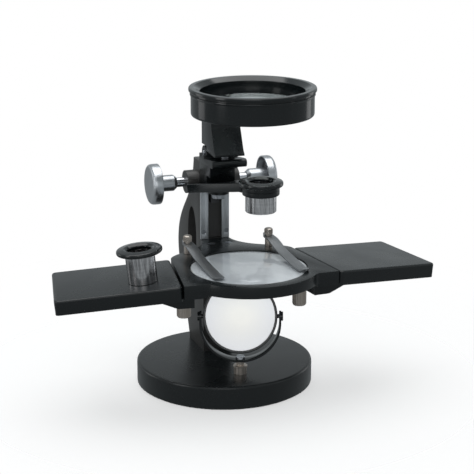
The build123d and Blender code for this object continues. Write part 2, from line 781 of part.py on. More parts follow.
def rest_tongue(side):
    plan = make_face(Polyline((38.5, -27.0), (44.5, -70.0), (72.0, -67.5), (66.0, -24.5), close=True))
    tongue = flat_plate(plan, tongue_low, tongue_top)
    wedge = make_face(Polyline((56.0, tongue_low - 1), (56.0, tongue_low), (80.0, tongue_low + 10.0),
                               (80.0, tongue_low - 1), close=True))
    tongue -= extrude(Plane.XZ * wedge, amount=100)
    slot_radius = thumb_shank_radius + 0.7
    tongue -= rod(slot_radius, (thumb_x, thumb_y, 80), (thumb_x, thumb_y, 95))
    slot = block((-20, 0), (-slot_radius, slot_radius), (80, 95))
    tongue -= Pos(thumb_x, thumb_y, 0) * Rot(0, 0, rest_sweep) * slot
    board = flat_plate(make_face(Polyline(*rest_plan, close=True)), rest_top - rest_thickness, rest_top + 30)
    inner_edge = Vector(*rest_plan[1], 0) - Vector(*rest_plan[0], 0)
    hinge = Axis((rest_plan[0][0], rest_plan[0][1], rest_top), inner_edge)
    tongue -= board.rotate(hinge, -rest_droop)
    for x, y in rest_screw_places:
        tongue -= rod(1.6, (x, y, 80), (x, y, 98))
        tongue -= rod(3.1, (x, y, 80), (x, y, 88.6))
    return rest_side(side, tongue)


def rest_screws(side):
    screws = []
    for x, y in rest_screw_places:
        head = rod(3.0, (x, y, 87.0), (x, y, 88.6))
        head -= Pos(x, y, 87.0) * Box(8, 0.8, 1.4)
        screws.append(rest_side(side, head + rod(1.57, (x, y, 88.6), (x, y, 97.5))))
    return join(screws)


def thumbscrew(side):
    outline = [
        (0, thumb_low), (thumb_head_radius - 0.8, thumb_low), (thumb_head_radius, thumb_low + 0.8),
        (thumb_head_radius, 79.4), (thumb_head_radius - 1.0, 80.2), (3.6, 80.2), (3.6, 81.1),
        (thumb_shank_radius, 81.1), (thumb_shank_radius, 101.0), (0, 101.0),
    ]
    return turned(outline, side * thumb_x, thumb_y)


def thumb_washer(side):
    x = side * thumb_x
    return tube(6.0, thumb_shank_radius, (x, thumb_y, 81.1), (x, thumb_y, 82.1))


# ---------------------------------------------------------------- spare lens

def spare_frame(shape):
    """Stands a piece, built upright about the origin, on the sloping left hand rest."""
    inner_edge = Vector(-rest_plan[1][0], rest_plan[1][1], 0) - Vector(-rest_plan[0][0], rest_plan[0][1], 0)
    hinge = Axis((-rest_plan[0][0], rest_plan[0][1], rest_top), inner_edge)
    return (Pos(spare_x, spare_y, rest_top + 0.05) * shape).rotate(hinge, rest_droop)


def spare_barrel():
    outline = [
        (5.6, 0.0), (spare_radius - 0.3, 0.0), (spare_radius, 0.4), (spare_radius, spare_seat),
        (9.0, spare_seat), (9.0, 8.0), (6.2, 8.0), (6.2, 3.0), (5.6, 3.0),
    ]
    return spare_frame(turned(outline))


def spare_glass():
    glass = rod(6.15, (0, 0, 3.05), (0, 0, 6.6))
    glass &= Pos(0, 0, 6.6 - 16) * Sphere(16)
    return spare_frame(glass)


def spare_eyecup():
    return spare_frame(eyecup(spare_seat, 9.6, 13.0, 16.0, 8.4))


os.makedirs("parts", exist_ok=True)
for build in (base_pad, base_disc, base_screws, limb, guide_strips, guide_screws, stage_plate, stage_glass,
              stage_screws, mirror_post, fork_strap, fork_screw, mirror_pivots, mirror_cell,
              mirror_glass_concave, mirror_glass_plane, slide_block, rack, rack_screws, bracket_pin,
              tilt_stop_screw, arm_pivot_screw, arm_pivot_washer, pinion_gear, pinion_shaft,
              knob_grub_screws, arm_plate, arm_ring, lens_barrel, lens_retainer, lens_glass, lens_eyecup,
              bull_bracket, bull_cell, bull_rim, bull_glass, bull_screws, spare_barrel, spare_glass,
              spare_eyecup):
    save(build.__name__, build())
for build in (bush, knob, clip_post, clip_blade, rest_board, rest_tongue, rest_screws, thumbscrew,
              thumb_washer):
    for side, name in ((-1, "left"), (1, "right")):
        save(f"{build.__name__}_{name}", build(side))
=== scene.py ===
import json
import math
import bmesh
import bpy
from mathutils import Matrix, Vector


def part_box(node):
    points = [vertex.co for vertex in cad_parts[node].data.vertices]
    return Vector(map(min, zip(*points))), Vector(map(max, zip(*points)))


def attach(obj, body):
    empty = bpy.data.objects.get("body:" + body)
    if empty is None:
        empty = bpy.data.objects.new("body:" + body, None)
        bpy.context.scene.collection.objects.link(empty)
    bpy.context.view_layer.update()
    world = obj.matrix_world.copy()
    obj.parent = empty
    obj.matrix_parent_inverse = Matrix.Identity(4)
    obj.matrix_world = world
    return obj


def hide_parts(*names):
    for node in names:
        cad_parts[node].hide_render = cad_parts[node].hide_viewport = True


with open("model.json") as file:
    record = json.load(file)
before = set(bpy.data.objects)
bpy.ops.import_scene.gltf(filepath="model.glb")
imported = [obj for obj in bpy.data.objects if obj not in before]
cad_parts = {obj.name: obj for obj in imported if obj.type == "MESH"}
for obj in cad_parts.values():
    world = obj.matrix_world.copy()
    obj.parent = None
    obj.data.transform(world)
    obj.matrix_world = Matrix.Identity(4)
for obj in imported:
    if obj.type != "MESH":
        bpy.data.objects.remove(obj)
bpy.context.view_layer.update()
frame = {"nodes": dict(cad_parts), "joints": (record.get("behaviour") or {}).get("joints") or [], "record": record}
mm = 0.001
nodes = frame["nodes"]
bodies = frame["record"]["behaviour"]["bodies"]
bodyOf = {node: body for body, members in bodies.items() for node in members}
jointOf = {joint["name"]: joint for joint in frame["joints"]}
print("frame loaded:", len(nodes), "nodes")


def middle(node):
    low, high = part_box(node)
    return (low + high) / 2


# one output in a finish's tree; sums on it add Math nodes
class Wire:
    def __init__(self, finish, socket):
        self.finish = finish
        self.socket = socket

    def sum(self, kind, first, second, clamp=False):
        settings = {"operation": kind, "use_clamp": clamp}
        return self.finish.node("ShaderNodeMath", settings, {0: first, 1: second})

    def __add__(self, other):
        return self.sum("ADD", self, other)

    def __radd__(self, other):
        return self.sum("ADD", other, self)

    def __sub__(self, other):
        return self.sum("SUBTRACT", self, other)

    def __rsub__(self, other):
        return self.sum("SUBTRACT", other, self)

    def __mul__(self, other):
        return self.sum("MULTIPLY", self, other)

    def __rmul__(self, other):
        return self.sum("MULTIPLY", other, self)

    def clip(self):
        return self.sum("ADD", self, 0.0, clamp=True)


socketNames = {
    "colour": "Base Color", "rough": "Roughness", "metal": "Metallic", "normal": "Normal",
    "alpha": "Alpha", "coat": "Coat Weight", "coatRough": "Coat Roughness",
    "clear": "Transmission Weight", "ior": "IOR", "specular": "Specular IOR Level",
}


# a material and its shader; slot is the record's slot that its pieces belong to
class Finish:
    def __init__(self, name, slot):
        self.material = bpy.data.materials.new(name)
        self.material.use_nodes = True
        self.tree = self.material.node_tree
        self.shader = self.tree.nodes["Principled BSDF"]
        self.slot = slot

    # any node: its settings first, then the values or links of its sockets
    def node(self, kind, settings=None, sockets=None, output=0):
        made = self.tree.nodes.new(kind)
        for key, value in (settings or {}).items():
            setattr(made, key, value)
        for key, value in (sockets or {}).items():
            if isinstance(value, Wire):
                self.tree.links.new(value.socket, made.inputs[key])
            else:
                made.inputs[key].default_value = value
        return Wire(self, made.outputs[output])

    def place(self):
        return self.node("ShaderNodeTexCoord", output="Object")

    # place measured from a point, in a frame whose Z is the given axis
    def placeAbout(self, centre, axis=(0, 0, 1)):
        turn = Vector(axis).normalized().rotation_difference(Vector((0, 0, 1))).to_matrix().to_4x4()
        shift = turn @ Matrix.Translation(-Vector(centre))
        return self.node("ShaderNodeMapping", {"vector_type": "POINT"}, {
            "Vector": self.place(), "Location": shift.translation, "Rotation": turn.to_euler()})

    def parts(self, vector):
        split = self.node("ShaderNodeSeparateXYZ", None, {0: vector})
        outputs = split.socket.node.outputs
        return [Wire(self, outputs[axis]) for axis in range(3)]

    def joined(self, x, y, z):
        return self.node("ShaderNodeCombineXYZ", None, {0: x, 1: y, 2: z})

    def function(self, kind, *values):
        return self.node("ShaderNodeMath", {"operation": kind}, dict(enumerate(values)))

    # distance from the middle of the pattern
    def reach(self, first, *others):
        squares = first * first
        for part in others:
            squares = squares + part * part
        return self.function("SQRT", squares)

    def noise(self, vector, scale, detail=3.0, rough=0.5):
        return self.node("ShaderNodeTexNoise", None, {
            "Vector": vector, "Scale": scale, "Detail": detail, "Roughness": rough})

    # 0 below low, 1 above high
    def ramp(self, value, low, high):
        limits = {0: value, 1: low, 2: high, 3: 0.0, 4: 1.0}
        return self.node("ShaderNodeMapRange", {"clamp": True}, limits)

    def blendColour(self, share, first, second):
        colours = {0: share}
        for key, colour in ((6, first), (7, second)):
            colours[key] = colour if isinstance(colour, Wire) else (*colour, 1.0)
        return self.node("ShaderNodeMix", {"data_type": "RGBA"}, colours, output=2)

    def bump(self, height, distance):
        return self.node("ShaderNodeBump", None, {"Height": height, "Distance": distance})

    def set(self, **values):
        for key, value in values.items():
            socket = self.shader.inputs[socketNames[key]]
            if isinstance(value, Wire):
                self.tree.links.new(value.socket, socket)
            elif isinstance(value, tuple):
                socket.default_value = (*value, 1.0)
            else:
                socket.default_value = value
        return self


enamelLook = {
    "colour": (0.0050, 0.0068, 0.0076), "dustColour": (0.045, 0.046, 0.045), "roughLow": 0.20,
    "roughHigh": 0.36, "cloudScale": 38.0, "peelScale": 900.0, "peelHeight": 0.000018,
    "dustScale": 2600.0, "rubGrain": (30.0, 900.0, 900.0), "coat": 0.0, "specular": 0.42,
}
# painted light: the limb's copy of the black enamel is drawn lighter grey, for its lit flank
litLimbLook = {**enamelLook, "colour": (0.032, 0.031, 0.030), "roughLow": 0.30, "roughHigh": 0.46}
mouldingLook = {**enamelLook, "roughLow": 0.12, "roughHigh": 0.20, "peelHeight": 0.000012, "coat": 0.15}


# stoved enamel or moulded plastic: faint orange peel, cloudy sheen, dust specks and hairline rubs
def gloss(name, slot, look):
    f = Finish(name, slot)
    place = f.place()
    cloud = f.noise(place, look["cloudScale"], 4.0)
    peel = f.noise(place, look["peelScale"], 2.0)
    dust = f.ramp(f.noise(place, look["dustScale"], 1.0), 0.70, 0.76)
    x, y, z = f.parts(place)
    along, across, up = look["rubGrain"]
    rubs = f.ramp(f.noise(f.joined(x * along, y * across, z * up), 1.0, 4.0, 0.7), 0.62, 0.72)
    rubbed = rubs * f.ramp(cloud, 0.45, 0.62)
    sheen = look["roughLow"] + cloud * (look["roughHigh"] - look["roughLow"])
    colour = f.blendColour(dust * 0.55 + rubbed * 0.12, look["colour"], look["dustColour"])
    f.set(colour=colour, rough=sheen + rubbed * 0.12 + dust * 0.3)
    f.set(normal=f.bump(peel + rubbed * 0.4, look["peelHeight"]))
    return f.set(coat=look["coat"], coatRough=0.06, specular=look["specular"])


steelLook = {"colour": (0.42, 0.44, 0.47), "shade": (0.27, 0.285, 0.31), "rough": 0.26, "metal": 1.0,
             "grain": (60.0, 2400.0, 240.0), "grainHeight": 0.000012, "stainScale": 90.0}
guideLook = {**steelLook, "colour": (0.66, 0.69, 0.72), "shade": (0.34, 0.36, 0.38), "metal": 0.75,
             "grain": (2400.0, 2400.0, 40.0)}
bladeLook = {**steelLook, "colour": (0.30, 0.31, 0.32), "shade": (0.16, 0.165, 0.17), "rough": 0.34,
             "grain": (1800.0, 60.0, 300.0)}
rackLook = {**steelLook, "colour": (0.10, 0.10, 0.105), "shade": (0.03, 0.03, 0.03), "rough": 0.35,
            "grain": (200.0, 900.0, 900.0)}


# ground or drawn metal: long fine grain, stains and soft wear
def machined(name, slot, look):
    f = Finish(name, slot)
    x, y, z = f.parts(f.place())
    along, across, up = look["grain"]
    grain = f.noise(f.joined(x * along, y * across, z * up), 1.0, 5.0, 0.65)
    stain = f.noise(f.place(), look["stainScale"], 4.0)
    share = (grain * 0.7 + stain * 0.5).clip()
    f.set(colour=f.blendColour(share, look["shade"], look["colour"]), metal=look["metal"])
    f.set(rough=look["rough"] + grain * 0.12 + stain * 0.08)
    return f.set(normal=f.bump(grain, look["grainHeight"]))


chromeLook = {"colour": (0.66, 0.67, 0.70), "shade": (0.46, 0.47, 0.50), "rough": 0.03, "rings": 1800.0,
              "paintedReflectionBands": 6.0, "height": 0.000004}
# the barrels' bright and dark bands are strong painted reflections
barrelLook = {"colour": (0.80, 0.79, 0.80), "shade": (0.13, 0.125, 0.13), "rough": 0.10, "rings": 900.0,
              "paintedReflectionBands": 5.0, "height": 0.000006, "reflectionContrast": 0.12}
aluminiumLook = {"colour": (0.58, 0.60, 0.62), "shade": (0.38, 0.39, 0.41), "rough": 0.22,
                 "rings": 2600.0, "paintedReflectionBands": 2.5, "height": 0.00001}
nickelLook = {"colour": (0.62, 0.56, 0.50), "shade": (0.34, 0.30, 0.27), "rough": 0.26, "rings": 1500.0,
              "paintedReflectionBands": 3.0, "height": 0.000008}
brassLook = {"colour": (0.62, 0.47, 0.22), "shade": (0.38, 0.27, 0.12), "rough": 0.24, "rings": 1500.0,
             "paintedReflectionBands": 3.0, "height": 0.000008}


# lathe work about an axis: fine rings on faces, and painted reflections as long bright and dark bands along the
# barrel
def turned(name, slot, look, centre, axis):
    f = Finish(name, slot)
    x, y, z = f.parts(f.placeAbout(centre, axis))
    radius = f.reach(x, y)
    angle = f.function("ARCTAN2", y, x)
    rings = f.noise(f.joined(radius * look["rings"], z * look["rings"], angle * 0.6), 1.0, 4.0, 0.7)
    # painted reflection: bands round the axis stand for lamps and sky seen in the polished metal
    around = [f.function(kind, angle) * look["paintedReflectionBands"] for kind in ("COSINE", "SINE")]
    paintedReflectionBands = f.noise(f.joined(*around, z * 25.0), 1.0, 4.0, 0.7)
    if "reflectionContrast" in look:
        paintedReflectionBands = f.ramp(paintedReflectionBands, 0.5 - look["reflectionContrast"], 0.5 + look["reflectionContrast"])
    share = (rings * 0.45 + paintedReflectionBands * 0.75).clip()
    f.set(colour=f.blendColour(share, look["shade"], look["colour"]), metal=1.0)
    f.set(rough=look["rough"] + rings * 0.10 + paintedReflectionBands * 0.06)
    return f.set(normal=f.bump(rings, look["height"]))


plateLook = {"dim": (0.54, 0.575, 0.61), "bright": (0.80, 0.83, 0.855),
             "edgeShadeColour": (0.02, 0.024, 0.026), "edge": 0.0408, "edgeShadeWidth": 0.0004}


# pale plate glass: bluish cast, wiped streaks and dust, and a ground edge drawn dark with painted shade where it
# sits in the rebate
def plateGlass(name, slot, centre, look):
    f = Finish(name, slot)
    x, y, z = f.parts(f.placeAbout(centre))
    # painted shade: a thin ring at the glass's rim is drawn near black, for the shadow of the rebate
    paintedEdgeShade = f.ramp(f.reach(x, y), look["edge"] - look["edgeShadeWidth"], look["edge"])
    wipe = f.noise(f.joined(x * 26.0 + y * 14.0, y * 7.0 - x * 3.0, z), 1.0, 2.0)
    haze = f.ramp(wipe, 0.30, 0.70)
    dust = f.ramp(f.noise(f.place(), 1500.0, 1.0), 0.72, 0.78)
    colour = f.blendColour(paintedEdgeShade, f.blendColour(haze, look["dim"], look["bright"]), look["edgeShadeColour"])
    f.set(colour=colour, rough=0.05 + haze * 0.05 + dust * 0.3 + paintedEdgeShade * 0.4)
    f.set(alpha=0.72 + haze * 0.16 + dust * 0.1 + paintedEdgeShade * 0.3)
    return f.set(coat=1.0, coatRough=0.02, specular=0.6)


# clear optical glass with a faint smear and dust
def lensGlass(name, slot):
    f = Finish(name, slot)
    place = f.place()
    smear = f.noise(place, 160.0, 3.0)
    dust = f.ramp(f.noise(place, 1800.0, 1.0), 0.73, 0.78)
    f.set(colour=f.blendColour(smear, (0.86, 0.93, 0.92), (0.93, 0.96, 0.95)))
    return f.set(rough=0.01 + smear * 0.02 + dust * 0.2, clear=1.0, ior=1.5)


silverLook = {"warm": (1.0, 0.975, 0.92), "cool": (0.87, 0.865, 0.88), "dust": (0.6, 0.6, 0.6),
              "edge": 0.025}


# silvered glass seen through its front face: a painted reflection, warm in the middle and cooler at the edge, and
# fine dust
def silvered(name, slot, centre, look):
    f = Finish(name, slot)
    place = f.place()
    away = f.reach(*f.parts(f.placeAbout(centre))) + f.noise(place, 60.0, 2.0) * 0.006
    # painted reflection: the colour runs from warm in the middle to cool at the edge
    cool = f.ramp(away, look["edge"] * 0.35, look["edge"])
    dust = f.ramp(f.noise(place, 2200.0, 1.0), 0.72, 0.78)
    colour = f.blendColour(cool, look["warm"], look["cool"])
    f.set(colour=f.blendColour(dust * 0.3, colour, look["dust"]), metal=0.35, rough=0.10 + dust * 0.3)
    return f.set(coat=1.0, coatRough=0.02)


# dull black rubber
def rubber(name, slot):
    f = Finish(name, slot)
    place = f.place()
    grain = f.noise(place, 1400.0, 3.0)
    cloud = f.noise(place, 60.0, 3.0)
    colour = f.blendColour(cloud, (0.018, 0.018, 0.018), (0.04, 0.04, 0.038))
    return f.set(colour=colour, rough=0.75 + grain * 0.15, normal=f.bump(grain, 0.00005))


enamel = gloss("blackEnamel", "black_enamel", enamelLook)
litLimbEnamel = gloss("litLimbEnamel", "black_enamel", litLimbLook)
moulding = gloss("blackMoulding", "black_moulding", mouldingLook)
steel = machined("machinedSteel", "machined_steel", steelLook)
guideSteel = machined("guideSteel", "machined_steel", guideLook)
bladeSteel = machined("bladeSteel", "machined_steel", bladeLook)
rubberPad = rubber("rubberPad", "foot_pad")
clearLens = lensGlass("clearLens", "lens_glass")
stageGlass = plateGlass("stageGlass", "stage_glass", middle("stage_glass"), plateLook)
mirrorSilver = silvered("mirrorSilver", "mirror", middle("mirror_cell"), silverLook)
print("materials ready")

# angles in degrees, merge distance in metres; a rounded corner takes at most cornerShare of a side
smoothLook = {"sharp": 32.0, "flat": 0.6, "merge": 0.000004, "cornerSteps": 6, "cornerShare": 0.49}


def dress(piece, finish):
    piece.data.materials.clear()
    piece.data.materials.append(finish.material)


# a finished mesh becomes a piece that stands for a CAD node and rides on its body
def addPiece(name, mesh, finish, node):
    mesh.name = name
    mesh.shade_smooth()
    mesh.set_sharp_from_angle(angle=math.radians(smoothLook["sharp"]))
    piece = bpy.data.objects.new(name, mesh)
    bpy.context.scene.collection.objects.link(piece)
    dress(piece, finish)
    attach(piece, bodyOf[node])
    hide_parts(node)


# rounds the corners of an outline: its points are (radius, height), or with a corner radius too, in mm
def roundedOutline(points, closed):
    made = []
    last = len(points) - 1
    for k, point in enumerate(points):
        here = Vector(point[:2])
        rounding = point[2] if len(point) > 2 else 0.0
        if rounding == 0.0 or (not closed and k in (0, last)):
            made.append(here)
            continue
        back = Vector(points[k - 1][:2]) - here
        ahead = Vector(points[(k + 1) % len(points)][:2]) - here
        fit = rounding / math.tan(back.angle(ahead) / 2)
        reach = min(fit, *(side.length * smoothLook["cornerShare"] for side in (back, ahead)))
        start = here + back.normalized() * reach
        end = here + ahead.normalized() * reach
        for step in range(smoothLook["cornerSteps"] + 1):
            t = step / smoothLook["cornerSteps"]
            made.append(start * (1 - t) ** 2 + here * 2 * t * (1 - t) + end * t ** 2)
    return made


# turns an outline about an axis through a centre; closed outlines give rings, open ones end on the axis
def spun(name, points, centre, axis, finish, node, steps=144, closed=True):
    shape = bmesh.new()
    rings = []
    for point in roundedOutline(points, closed):
        if point.x < 1e-6:
            rings.append([shape.verts.new((0, 0, point.y * mm))])
            continue
        ring = []
        for step in range(steps):
            angle = 2 * math.pi * step / steps
            place = (point.x * math.cos(angle), point.x * math.sin(angle), point.y)
            ring.append(shape.verts.new([mm * part for part in place]))
        rings.append(ring)
    pairs = zip(rings, rings[1:] + rings[:1] if closed else rings[1:])
    for first, second in pairs:
        for s in range(steps):
            t = (s + 1) % steps
            corners = [(first, s), (first, t), (second, t), (second, s)]
            unique = list(dict.fromkeys(ring[k % len(ring)] for ring, k in corners))
            if len(unique) > 2:
                shape.faces.new(unique)
    bmesh.ops.recalc_face_normals(shape, faces=shape.faces[:])
    mesh = bpy.data.meshes.new(name)
    shape.to_mesh(mesh)
    shape.free()
    turn = Vector((0, 0, 1)).rotation_difference(Vector(axis).normalized()).to_matrix().to_4x4()
    mesh.transform(Matrix.Translation(Vector(centre)) @ turn)
    addPiece(name, mesh, finish, node)


def camel(node):
    first, *rest = node.split("_")
    return first + "".join(word.capitalize() for word in rest)


# a copy of a CAD node with its loose triangles merged and its sharp edges rounded over
def softened(node, width, finish, segments=3):
    shape = bmesh.new()
    shape.from_mesh(nodes[node].data)
    bmesh.ops.remove_doubles(shape, verts=shape.verts[:], dist=smoothLook["merge"])
    flat = math.radians(smoothLook["flat"])
    bmesh.ops.dissolve_limit(shape, angle_limit=flat, verts=shape.verts[:], edges=shape.edges[:])
    limit = math.radians(smoothLook["sharp"])
    sharp = [e for e in shape.edges if len(e.link_faces) == 2 and e.calc_face_angle() > limit]
    bmesh.ops.bevel(shape, geom=sharp, offset=width * mm, segments=segments, profile=0.5, affect="EDGES",
                    clamp_overlap=True)
    bmesh.ops.triangulate(shape, faces=[face for face in shape.faces if len(face.verts) > 4])
    mesh = bpy.data.meshes.new(node)
    shape.to_mesh(mesh)
    shape.free()
    addPiece(camel(node), mesh, finish, node)


# CAD nodes that keep their own mesh get a better finish
def keep(finish, *names):
    for name in names:
        dress(nodes[name], finish)


# widths of rounded edges, in mm
edgeLook = {"casting": 0.9, "bracket": 1.2, "block": 0.6, "strap": 0.35, "strip": 0.25, "blade": 0.16}
upward = (0, 0, 1)

baseLook = {"edge": 2.2, "foot": 0.8}
low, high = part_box("base_disc")
baseRadius = (high.x - low.x) / 2 / mm
spun("baseDisc", [(0, low.z / mm), (baseRadius, low.z / mm, baseLook["foot"]),
                  (baseRadius, high.z / mm, baseLook["edge"]), (0, high.z / mm)],
     (0, 0, 0), upward, enamel, "base_disc", steps=240, closed=False)
keep(rubberPad, "base_pad")
keep(steel, "base_screws", "guide_screws", "stage_screws", "rack_screws")
softened("limb", edgeLook["casting"], litLimbEnamel)
softened("guide_strips", edgeLook["strip"], guideSteel)
bushChrome = turned("bushChrome", "chrome", chromeLook, middle("bush_left"), (1, 0, 0))
keep(bushChrome, "bush_left", "bush_right")
print("base and limb ready")

softened("stage_plate", edgeLook["casting"], enamel)
stageLook = {"bevel": 0.35}
low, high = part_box("stage_glass")
glassRadius = (high.x - low.x) / 2 / mm
glassHalf = (high.z - low.z) / 2 / mm
spun("stageGlass", [(0, -glassHalf), (glassRadius, -glassHalf, stageLook["bevel"]),
                    (glassRadius, glassHalf, stageLook["bevel"]), (0, glassHalf)],
     middle("stage_glass"), upward, stageGlass, "stage_glass", steps=200, closed=False)
print("stage ready")

# heights are along the way that the mirror faces, from its middle
mirrorLook = {"tilt": 16.0, "glass": 24.9, "cell": 26.8, "half": 3.5, "bevel": 0.7, "mouthBevel": 0.2,
              "dishSteps": 12, "dishLow": 1.25, "dishDepth": 1.5, "dishBack": 0.8, "planeInside": -0.9,
              "planeFace": -2.7}
mirrorMiddle = Vector(jointOf["mirror_turn"]["pos_m"])
mirrorAcross = Vector(jointOf["mirror_turn"]["axis"])
levelFace = Vector((mirrorAcross.y, -mirrorAcross.x, 0))
mirrorFace = Matrix.Rotation(math.radians(-mirrorLook["tilt"]), 3, mirrorAcross) @ levelFace
half, inside, outside = mirrorLook["half"], mirrorLook["glass"], mirrorLook["cell"]
spun("mirrorCell", [(inside, -half, mirrorLook["mouthBevel"]), (outside, -half, mirrorLook["bevel"]),
                    (outside, half, mirrorLook["bevel"]), (inside, half, mirrorLook["mouthBevel"])],
     mirrorMiddle, mirrorFace, moulding, "mirror_cell", steps=180)
dish = []
for step in range(mirrorLook["dishSteps"] + 1):
    share = step / mirrorLook["dishSteps"]
    dish.append((inside * share, mirrorLook["dishLow"] + mirrorLook["dishDepth"] * share ** 2))
spun("mirrorGlassConcave", dish + [(inside, mirrorLook["dishBack"]), (0, mirrorLook["dishBack"])],
     mirrorMiddle, mirrorFace, mirrorSilver, "mirror_glass_concave", closed=False)
spun("mirrorGlassPlane", [(0, mirrorLook["planeInside"]), (inside, mirrorLook["planeInside"]),
                          (inside, mirrorLook["planeFace"]), (0, mirrorLook["planeFace"])],
     mirrorMiddle, mirrorFace, mirrorSilver, "mirror_glass_plane", closed=False)
softened("fork_strap", edgeLook["strap"], moulding)
keep(turned("postNickel", "nickel", nickelLook, middle("mirror_post"), upward), "mirror_post")
keep(turned("forkChrome", "chrome", chromeLook, middle("mirror_post"), upward), "fork_screw")
keep(moulding, "mirror_pivots")
print("mirror ready")

softened("slide_block", edgeLook["block"], enamel)
keep(turned("pinionBrass", "brass", brassLook, middle("pinion_gear"), (1, 0, 0)), "pinion_gear")
keep(machined("rackSteel", "machined_steel", rackLook), "rack")
keep(steel, "bracket_pin", "tilt_stop_screw", "arm_pivot_screw", "arm_pivot_washer", "pinion_shaft",
     "knob_grub_screws")

knobLook = {"bore": 2.5, "hubTip": 4.2, "hub": 6.0, "hubTaper": 2.3, "cup": 13.2, "mouth": 13.9,
            "web": 2.7, "thick": 7.5, "dome": 3.2}
for side, name in ((-1, "left"), (1, "right")):
    low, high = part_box("knob_" + name)
    start, end = sorted((abs(low.x) / mm, abs(high.x) / mm))
    rim = (high.z - low.z) / 2 / mm
    face = end - knobLook["web"]
    inner = end - knobLook["thick"]
    hub = knobLook["hub"]
    outline = [(knobLook["bore"], start), (knobLook["hubTip"], start, 0.3),
               (hub, start + knobLook["hubTaper"], 0.6), (hub, face, 0.5), (knobLook["cup"], face, 0.8),
               (knobLook["mouth"], inner, 0.25), (rim, inner, 0.5), (rim, end, knobLook["dome"]),
               (0, end)]
    outward = (side, 0, 0)
    centre = middle("knob_" + name)
    centre.x = 0
    metal = turned("knobMetal" + name.capitalize(), "satin_aluminium", aluminiumLook, centre, outward)
    spun(camel("knob_" + name), outline, centre, outward, metal, "knob_" + name, steps=168, closed=False)
print("head ready")

softened("arm_plate", edgeLook["casting"], enamel)
ringLook = {"bore": 11.0, "bottom": 1.9, "top": 0.6, "seam": 0.35, "seamAbove": 0.6}
low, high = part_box("arm_ring")
lensAxis = middle("arm_ring")
lensAxis.z = 0
ringRadius = (high.x - low.x) / 2 / mm
bottom, top = low.z / mm, high.z / mm
seam = (bottom + top) / 2 + ringLook["seamAbove"]
spun("armRing", [(ringLook["bore"], bottom, 0.3), (ringRadius, bottom, ringLook["bottom"]),
                 (ringRadius, seam - ringLook["seam"], 0.2), (ringRadius - ringLook["seam"], seam, 0.1),
                 (ringRadius, seam + ringLook["seam"], 0.2), (ringRadius, top, ringLook["top"]),
                 (ringLook["bore"], top, 0.3)],
     lensAxis, upward, enamel, "arm_ring")

barrelShape = {"mouth": 8.6, "lip": 9.0, "rim": 10.4, "bore": 9.6, "lipDepth": 1.6, "shelf": 3.4,
               "bevel": 0.5}
low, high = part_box("lens_barrel")
barrelRadius = (high.x - low.x) / 2 / mm
bottom, top = low.z / mm, high.z / mm
shelf = bottom + barrelShape["shelf"]
barrel = turned("barrelChrome", "chrome", barrelLook, lensAxis, upward)
spun("lensBarrel", [(barrelShape["mouth"], bottom + barrelShape["lipDepth"]),
                    (barrelShape["lip"], bottom, 0.3), (barrelShape["rim"], bottom, 0.2),
                    (barrelRadius, bottom + barrelShape["bevel"], 0.2), (barrelRadius, top),
                    (barrelShape["bore"], top), (barrelShape["bore"], shelf),
                    (barrelShape["mouth"], shelf)],
     lensAxis, upward, barrel, "lens_barrel", steps=160)
keep(barrel, "lens_retainer")
keep(clearLens, "lens_glass", "spare_glass")

cupLook = {"hole": 8.4, "recess": 1.5, "bevel": 0.9, "edge": 3.6, "brow": 2.0, "browDrop": 1.4,
           "flange": 14.4, "clearance": 0.05}


# the cup's top slopes up from its rounded rim to the hole for the eye
def eyecup(name, low, high, bore, flange, rim, centre, axis, node):
    hole, shelf = cupLook["hole"], low + cupLook["recess"]
    spun(name, [(hole, shelf), (bore, shelf), (bore, low), (flange, low, 0.4),
                (rim, low + cupLook["bevel"], 1.2), (rim, low + cupLook["edge"], 1.7),
                (hole + cupLook["brow"], high, 1.6), (hole, high - cupLook["browDrop"], 0.9)],
         centre, axis, moulding, node, steps=160)


low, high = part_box("lens_eyecup")
cupRadius = (high.x - low.x) / 2 / mm
eyecup("lensEyecup", low.z / mm, high.z / mm, barrelRadius + cupLook["clearance"], cupLook["flange"],
       cupRadius, lensAxis, upward, "lens_eyecup")
print("lens arm ready")

softened("bull_bracket", edgeLook["bracket"], enamel)
keep(steel, "bull_screws")
bullLook = {"opening": 35.6, "openingLip": 0.5, "lip": 4.1, "slope": 2.6, "bore": 37.6, "flange": 2.4,
            "neck": 42.0, "neckCorner": 0.2, "land": 3.6, "mouth": 36.0, "seat": 6.05, "clearance": 0.05,
            "bead": 0.6, "beadLow": 1.6, "beadHigh": 1.0, "glassEdge": 1.2, "glassSteps": 24}
bullAxis = middle("bull_rim")
bullAxis.z = 0
low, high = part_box("bull_rim")
rim = (high.x - low.x) / 2 / mm
skirt, top = low.z / mm, high.z / mm
neck, flange = bullLook["neck"], top - bullLook["flange"]
spun("bullRim", [(bullLook["bore"], skirt), (bullLook["bore"], top - bullLook["lip"]),
                 (neck, top - bullLook["lip"]), (neck, flange - bullLook["neckCorner"], 0.3),
                 (rim, flange, 0.5), (rim, top, 1.1), (rim - bullLook["land"], top, 0.7),
                 (bullLook["opening"] + bullLook["openingLip"], top - bullLook["slope"], 0.6),
                 (bullLook["opening"], skirt)],
     bullAxis, upward, moulding, "bull_rim", steps=240)
low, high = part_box("bull_cell")
cell = (high.x - low.x) / 2 / mm
bottom, top = low.z / mm, high.z / mm
seat = bottom + bullLook["seat"]
bore, bead = bullLook["bore"] + bullLook["clearance"], cell + bullLook["bead"]
spun("bullCell", [(bullLook["mouth"], bottom, 0.8), (cell, bottom, 1.8),
                  (cell, top - bullLook["beadLow"], 0.4), (bead, top - bullLook["beadHigh"], 0.3),
                  (bead, top, 0.6), (bore, top), (bore, seat), (bullLook["mouth"], seat)],
     bullAxis, upward, moulding, "bull_cell", steps=240)
low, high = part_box("bull_glass")
lensRadius = (high.x - low.x) / 2 / mm
lensHalf = (high.z - low.z) / 2 / mm
crown = []
